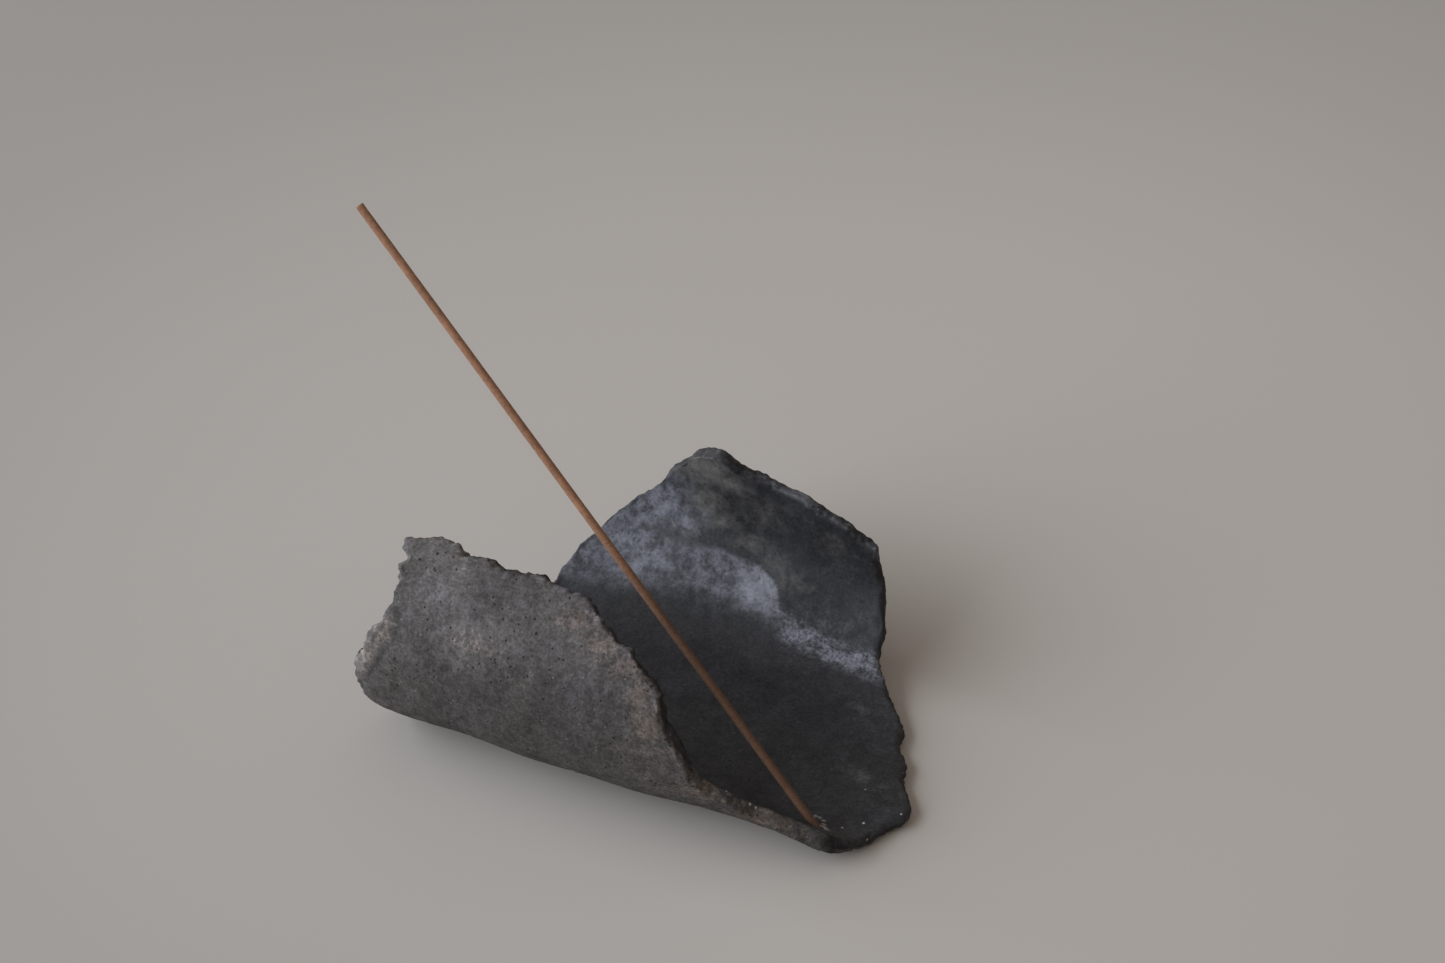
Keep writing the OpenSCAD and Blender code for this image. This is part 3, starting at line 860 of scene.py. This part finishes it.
def inner_clay(g, tone, pores, fine_spots):
    """Colour, roughness and height of the inner face: burnished soot with a painted sheen and stains."""
    strokes = g.cloud(1.7, 4.0, 0.65, 0.2, g.stretched((0, 0, 0), (3.0, 1.0, 1.0)))
    drift = g.cloud(9.0, 5.0, 0.6)
    spotted = g.cloud(3.2, 4.0, 0.6, 0.3)
    soot = g.mix(g.band(drift, 0.3, 0.7), SOOT_DARK, SOOT_PALE)
    dust = g.spots(2.0, (0.26, 0.10), (0.55, 0.62), turn=(0.9, 0.3, 0.5))
    soot = g.mix(g.times(dust, g.band(drift, 0.44, 0.60, 0.0, 0.7)), soot, DUST)
    soot = g.scaled(soot, tone)
    soot = g.scaled(soot, g.band(spotted, 0.3, 0.7, 0.84, 1.16))
    soot = g.scaled(soot, g.band(fine_spots, 0.3, 0.7, 0.72, 1.28))

    # The painted sheen lies in blotches, which are stronger strokes along the trough in the streak
    sheen_streak = g.value("sheen_streak")
    blotches = g.sum(g.band(spotted, 0.28, 0.72, 0.42, 1.08), g.times(g.off(strokes), sheen_streak))
    blotches = g.sum(blotches, g.times(g.off(fine_spots), g.sum(0.2, g.times(sheen_streak, 0.45))))
    blotches = g.sum(blotches, g.times(g.value("solid"), 0.35))
    painted_sheen = g.band(g.times(g.value("painted_sheen"), blotches), 0.02, 1.30)
    uneven = g.sum(drift, g.times(g.off(fine_spots), 0.5))
    pale = g.scaled(PAINTED_SHEEN, g.band(uneven, 0.3, 0.7, 0.80, 1.20))
    # Painted glints: the painted sheen flickers brighter in the streak
    pale = g.scaled(pale, g.sum(1.0, g.times(g.off(fine_spots), sheen_streak)))
    soot = g.mix(painted_sheen, soot, pale)

    # Stains, pale rime on the back rim, pores, and grit with a painted highlight at the hole's mouth
    patchy = g.sum(g.times(g.off(drift), 0.6), g.times(g.off(spotted), 0.5))
    stained = g.band(g.sum(g.value("olive"), patchy), 0.15, 1.05)
    stain = g.scaled(STAIN, g.band(g.sum(spotted, g.off(fine_spots)), 0.2, 0.8, 0.72, 1.28))
    soot = g.mix(stained, soot, stain)
    rime = g.band(g.sum(drift, g.times(g.off(fine_spots), 0.3)), 0.38, 0.64)
    soot = g.mix(g.times(g.value("rime"), rime), soot, RIME)
    soot = g.mix(g.times(pores, 0.5), soot, SOOT_PORE)
    grit_and_highlight = g.spots(4.2, (0.10, 0.06), (0.58, 0.60), turn=(0.2, 0.5, 0.1))
    grit_and_highlight = g.sum(g.times(grit_and_highlight, g.value("gritty")), g.value("mouth_highlight"), "MAXIMUM")
    soot = g.mix(grit_and_highlight, soot, GRIT_AND_HIGHLIGHT)

    rough = g.sum(g.times(painted_sheen, -0.16), g.band(spotted, 0.3, 0.7, 0.60, 0.50))
    rough = g.sum(rough, g.times(stained, 0.25))
    height = g.sum(g.sum(g.times(strokes, 0.6), g.times(spotted, 0.6)), g.times(fine_spots, 0.6))
    return soot, rough, g.sum(height, g.times(pores, 0.8), "SUBTRACT")


def clay_material(grains, mouth_highlights):
    """Smoked clay, with white grains and a painted highlight at the given points, each with its radius in
    metres.
    """
    g = Graph("smoked_clay")
    ragged = g.cloud(2.2, 4.0)
    fine_spots = g.cloud(0.9, 3.0, 0.7)
    inside = g.band(g.sum(g.value("inside"), g.times(g.off(ragged), 0.9)), 0.42, 0.58)
    edge = g.value("edge")
    tone = g.sum(1.0, g.times(g.value("tone"), 0.5))
    clusters = g.sum(g.times(g.value("pitted"), 0.24), g.times(g.off(g.cloud(11.0, 3.0, 0.6)), 0.6))
    large_pores = g.spots(3.4, (0.17, 0.07), (0.64, 0.70), more=clusters)
    small_pores = g.spots(1.7, (0.24, 0.11), (0.62, 0.70), more=clusters)
    pores = g.sum(large_pores, small_pores, "MAXIMUM")
    grey, outer_height = outer_clay(g, tone, pores)
    soot, inner_rough, inner_height = inner_clay(g, tone, pores, fine_spots)
    colour = g.mix(inside, grey, soot)

    # The torn edge is scorched, with pale flecks
    crumbly = g.times(g.times(edge, g.value("scorch")), g.band(ragged, 0.62, 0.36))
    colour = g.mix(g.times(crumbly, 0.8), colour, SCORCH)
    flecks = g.times(g.spots(1.3, (0.30, 0.15), (0.78, 0.82), turn=(0.7, 0.1, 0.3)), edge)
    colour = g.mix(g.times(flecks, 0.4), colour, FLECK)
    # White grains of grit, and spots of painted highlight behind the hole's mouth
    for places, pale_grit_and_highlight in ((grains, GRIT_AND_HIGHLIGHT), (mouth_highlights, MOUTH_HIGHLIGHT)):
        for point, radius in places:
            apart = g.sum(g.apart(point), g.times(g.off(fine_spots), 1.6 * radius))
            colour = g.mix(g.band(apart, radius, 0.4 * radius), colour, pale_grit_and_highlight)

    roughness = g.sum(g.times(g.sum(1.0, inside, "SUBTRACT"), 0.9), g.times(inside, inner_rough))
    roughness = g.sum(roughness, g.times(edge, 0.2))
    normal = g.mix_ways(inside, g.bump(outer_height, 0.30, 0.7), g.bump(inner_height, 0.09, 0.6))
    return g.finish(
        Base_Color=colour, Roughness=roughness, Normal=normal, IOR=1.5, Specular_IOR_Level=0.2
    )


def stick_material():
    """Pressed wood powder, with painted shade: darker low down, where the walls shade it, and paler towards
    the top.
    """
    g = Graph("incense")
    grain = g.cloud(1.2, 4.0, 0.65)
    powder = g.cloud(0.35, 3.0, 0.6)
    drift = g.cloud(14.0, 3.0, 0.5)
    brown = g.mix(g.band(drift, 0.3, 0.7), STICK_DARK, STICK_PALE)
    brown = g.mix(g.band(grain, 0.35, 0.65), g.scaled(brown, STICK_GRAIN_TINT), brown)
    brown = g.mix(g.times(g.band(powder, 0.56, 0.70), 0.5), brown, STICK_POWDER)
    specks = g.spots(0.9, (0.26, 0.12), (0.62, 0.66))
    brown = g.mix(g.times(specks, 0.7), brown, STICK_SPECK)
    # Painted shade: darker low down on the stick, where the walls shade it, paler towards the top
    brown = g.scaled(brown, g.band(g.value("height"), 0.32, 0.56, 0.52, 1.42))
    normal = g.bump(g.sum(g.times(grain, 0.6), g.times(powder, 0.4)), 0.10, 0.7)
    return g.finish(Base_Color=brown, Roughness=g.band(grain, 0.3, 0.7, 0.78, 0.92), Normal=normal, IOR=1.45)


def floor_material():
    g = Graph("backdrop")
    colour = g.mix(g.cloud(260.0, 2.0, 0.5), FLOOR_DARK, FLOOR_PALE)
    # Painted falloff of light: the floor darkens away from each point
    for centre, near, far, least in FLOOR_LIGHT_FALLOFF:
        colour = g.scaled(colour, g.band(g.apart(centre), near, far, 1.0, least))
    return g.finish(Base_Color=colour, Roughness=0.9)


def build_stick():
    """An extruded stick with faint die lines along it, small pits and crumbled cut ends."""
    turns = np.linspace(0, 2 * np.pi, STICK_SIDES, endpoint=False)
    low = SEAT_GAP - HOLE_DEPTH
    body = np.linspace(CUT_BEVEL, STICK_LENGTH - CUT_BEVEL, STICK_RINGS)
    ups = np.concatenate([[0.0, CUT_HALF_BEVEL], body, [STICK_LENGTH - CUT_HALF_BEVEL, STICK_LENGTH]])
    bevel = np.array([CUT_BEVEL, CUT_HALF_BEVEL])
    shrink = np.concatenate([bevel, np.zeros(STICK_RINGS), bevel[::-1]])
    turn, up = np.meshgrid(turns, ups)
    around = np.stack([np.cos(turn), np.sin(turn), up * 0.02], axis=-1).reshape(-1, 3)
    places = np.stack([np.cos(turn) * 1.1, np.sin(turn) * 1.1, up], axis=-1).reshape(-1, 3)
    lines = cloud(around + 3, 0.16).reshape(turn.shape)
    pits = smooth(0.25, 0.6, cloud(places + 9, 0.9).reshape(turn.shape))
    swells = cloud(places + 15, 30.0).reshape(turn.shape)
    radius = STICK_D / 2 - STICK_SLACK + DIE_LINES * lines - STICK_PITS * pits + STICK_SWELLS * swells
    radius = np.minimum(radius - shrink[:, None], STICK_D / 2)
    at_end = (up < CUT_BEVEL) | (up > STICK_LENGTH - CUT_BEVEL)
    crumbled = np.where(at_end, CUT_CRUMBLE * np.abs(cloud(places + 31, 0.5).reshape(turn.shape)), 0)
    up = up + np.where(up < STICK_LENGTH / 2, crumbled, -crumbled)
    side = radius[..., None] * (np.cos(turn)[..., None] * STICK_SIDE + np.sin(turn)[..., None] * STICK_UP)
    points = HOLE_MOUTH + side + (low + up)[..., None] * STICK_AXIS
    grid = np.arange(points.shape[0] * STICK_SIDES).reshape(points.shape[:2])
    right = np.roll(grid, -1, axis=1)
    faces = [np.stack([grid[:-1], right[:-1], right[1:], grid[1:]], axis=-1).reshape(-1, 4)]
    points = points.reshape(-1, 3)

    # Each end is closed by two rings and a middle point
    for ring, inward, turned in ((grid[0], CUT_DENT, True), (grid[-1], -CUT_DENT, False)):
        centre = points[ring].mean(axis=0)
        rings = [ring]
        for share in (0.66, 0.33):
            flat = centre + share * (points[ring] - centre)
            dent = inward * np.abs(cloud(flat + 31, 0.6))
            first = len(points)
            points = np.vstack([points, flat + dent[:, None] * STICK_AXIS])
            rings.append(np.arange(first, len(points)))
        points = np.vstack([points, centre + 0.5 * inward * STICK_AXIS])
        rings.append(np.full(STICK_SIDES, len(points) - 1))
        for outside, inside in zip(rings, rings[1:]):
            quad = np.stack([outside, np.roll(outside, -1), np.roll(inside, -1), inside], axis=-1)
            if inside is rings[-1]:
                quad = quad[:, [0, 1, 3]]
            faces.append(quad[:, ::-1] if turned else quad)
    return points, faces


def add_floor():
    mesh = bpy.data.meshes.new("floor")
    half = FLOOR_HALF
    corners = [(-half, -half, 0), (half, -half, 0), (half, half, 0), (-half, half, 0)]
    mesh.from_pydata(corners, [], [(0, 1, 2, 3)])
    mesh.materials.append(floor_material())
    floor = bpy.data.objects.new("floor", mesh)
    bpy.context.scene.collection.objects.link(floor)


def add_light(scene):
    """A large soft cool window from the left and in front, and a warm room round it."""
    window = bpy.data.lights.new("window", "AREA")
    window.shape = "RECTANGLE"
    window.size = WINDOW_WIDTH
    window.size_y = WINDOW_HEIGHT
    window.energy = WINDOW_WATTS
    window.color = WINDOW_COLOUR
    window_object = bpy.data.objects.new("window", window)
    toward_window = Vector(TOWARD_WINDOW).normalized()
    window_object.location = toward_window * WINDOW_DISTANCE
    window_object.rotation_euler = toward_window.to_track_quat("Z", "Y").to_euler()
    scene.collection.objects.link(window_object)
    room = bpy.data.worlds.new("room")
    room.use_nodes = True
    room.node_tree.nodes["Background"].inputs["Color"].default_value = (*ROOM_COLOUR, 1.0)
    room.node_tree.nodes["Background"].inputs["Strength"].default_value = ROOM_STRENGTH
    scene.world = room


def add_camera(scene):
    """A camera where the photo was taken from, moved sideways so that the origin shows at its pixel."""
    azimuth = np.radians(CAMERA_AZIMUTH)
    elevation = np.radians(CAMERA_ELEVATION)
    level = np.cos(elevation)
    back = Vector((np.sin(azimuth) * level, -np.cos(azimuth) * level, np.sin(elevation)))
    right = Vector((np.cos(azimuth), np.sin(azimuth), 0))
    up = back.cross(right)
    pixel = SENSOR / LENS / PHOTO_WIDTH * CAMERA_DISTANCE
    pixels_right = ORIGIN_PIXEL[0] - PHOTO_WIDTH / 2
    pixels_down = ORIGIN_PIXEL[1] - PHOTO_HEIGHT / 2
    camera = bpy.data.cameras.new("camera")
    camera.lens = LENS
    camera.sensor_width = SENSOR
    camera_object = bpy.data.objects.new("camera", camera)
    camera_object.matrix_world = Matrix((
        (right.x, up.x, back.x, 0),
        (right.y, up.y, back.y, 0),
        (right.z, up.z, back.z, 0),
        (0, 0, 0, 1),
    ))
    camera_object.location = CAMERA_DISTANCE * back - pixels_right * pixel * right + pixels_down * pixel * up
    scene.collection.objects.link(camera_object)
    scene.camera = camera_object


# The clay body
shell = build_shell()
clay_points = weather(shell)
clay_skin = clay_material(inner_places(shell, clay_points, GRAINS), inner_places(shell, clay_points, MOUTH_HIGHLIGHTS))
clay = new_object(
    "clay_body_looks", clay_points, shell.faces, "burner", "clay_body", clay_skin
)
for name, values in clay_values(shell, clay_points).items():
    add_value(clay, name, values)

# The stick, with the share of its length that each point has below it, which its painted shade follows
stick_points, stick_faces = build_stick()
stick = new_object(
    "incense_stick_looks", stick_points, stick_faces, "stick", "incense_stick", stick_material()
)
add_value(stick, "height", ((stick_points - HOLE_MOUTH) @ STICK_AXIS + HOLE_DEPTH) / STICK_LENGTH)

# The floor, the light and the camera
scene = bpy.context.scene
add_floor()
add_light(scene)
add_camera(scene)
scene.view_settings.view_transform = "Standard"
